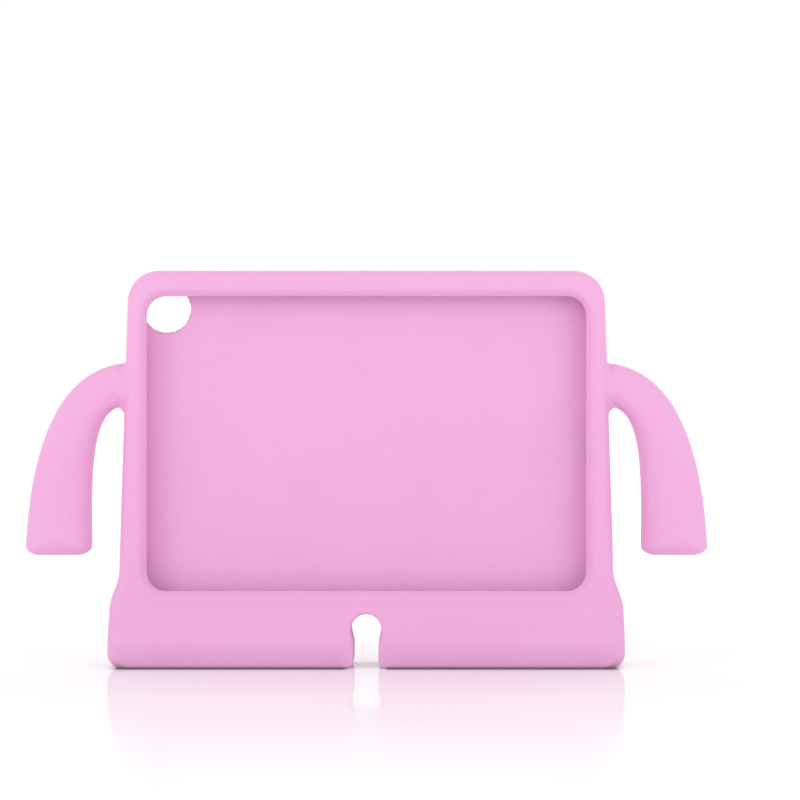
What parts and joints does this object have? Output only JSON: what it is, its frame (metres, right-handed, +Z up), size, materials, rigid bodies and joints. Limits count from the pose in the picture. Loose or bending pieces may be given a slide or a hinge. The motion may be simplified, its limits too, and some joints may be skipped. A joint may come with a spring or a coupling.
{
  "type": "kids tablet case",
  "caption": "Soft foam tablet case that stands by itself, with a screen window, two hanging arms as handles and a wide base split into two feet.",
  "frame": {"origin": "on the floor, in the middle between the outer sides and between the front and back of the base", "axes": "+Z up, -Y out of the screen window, +X to the right as seen from the front"},
  "size_m": [0.3684, 0.043, 0.213],
  "materials": {
    "foam": "soft matte foam, pink"
  },
  "bodies": {
    "root": {"foam_case": "foam"}
  },
  "joints": []
}
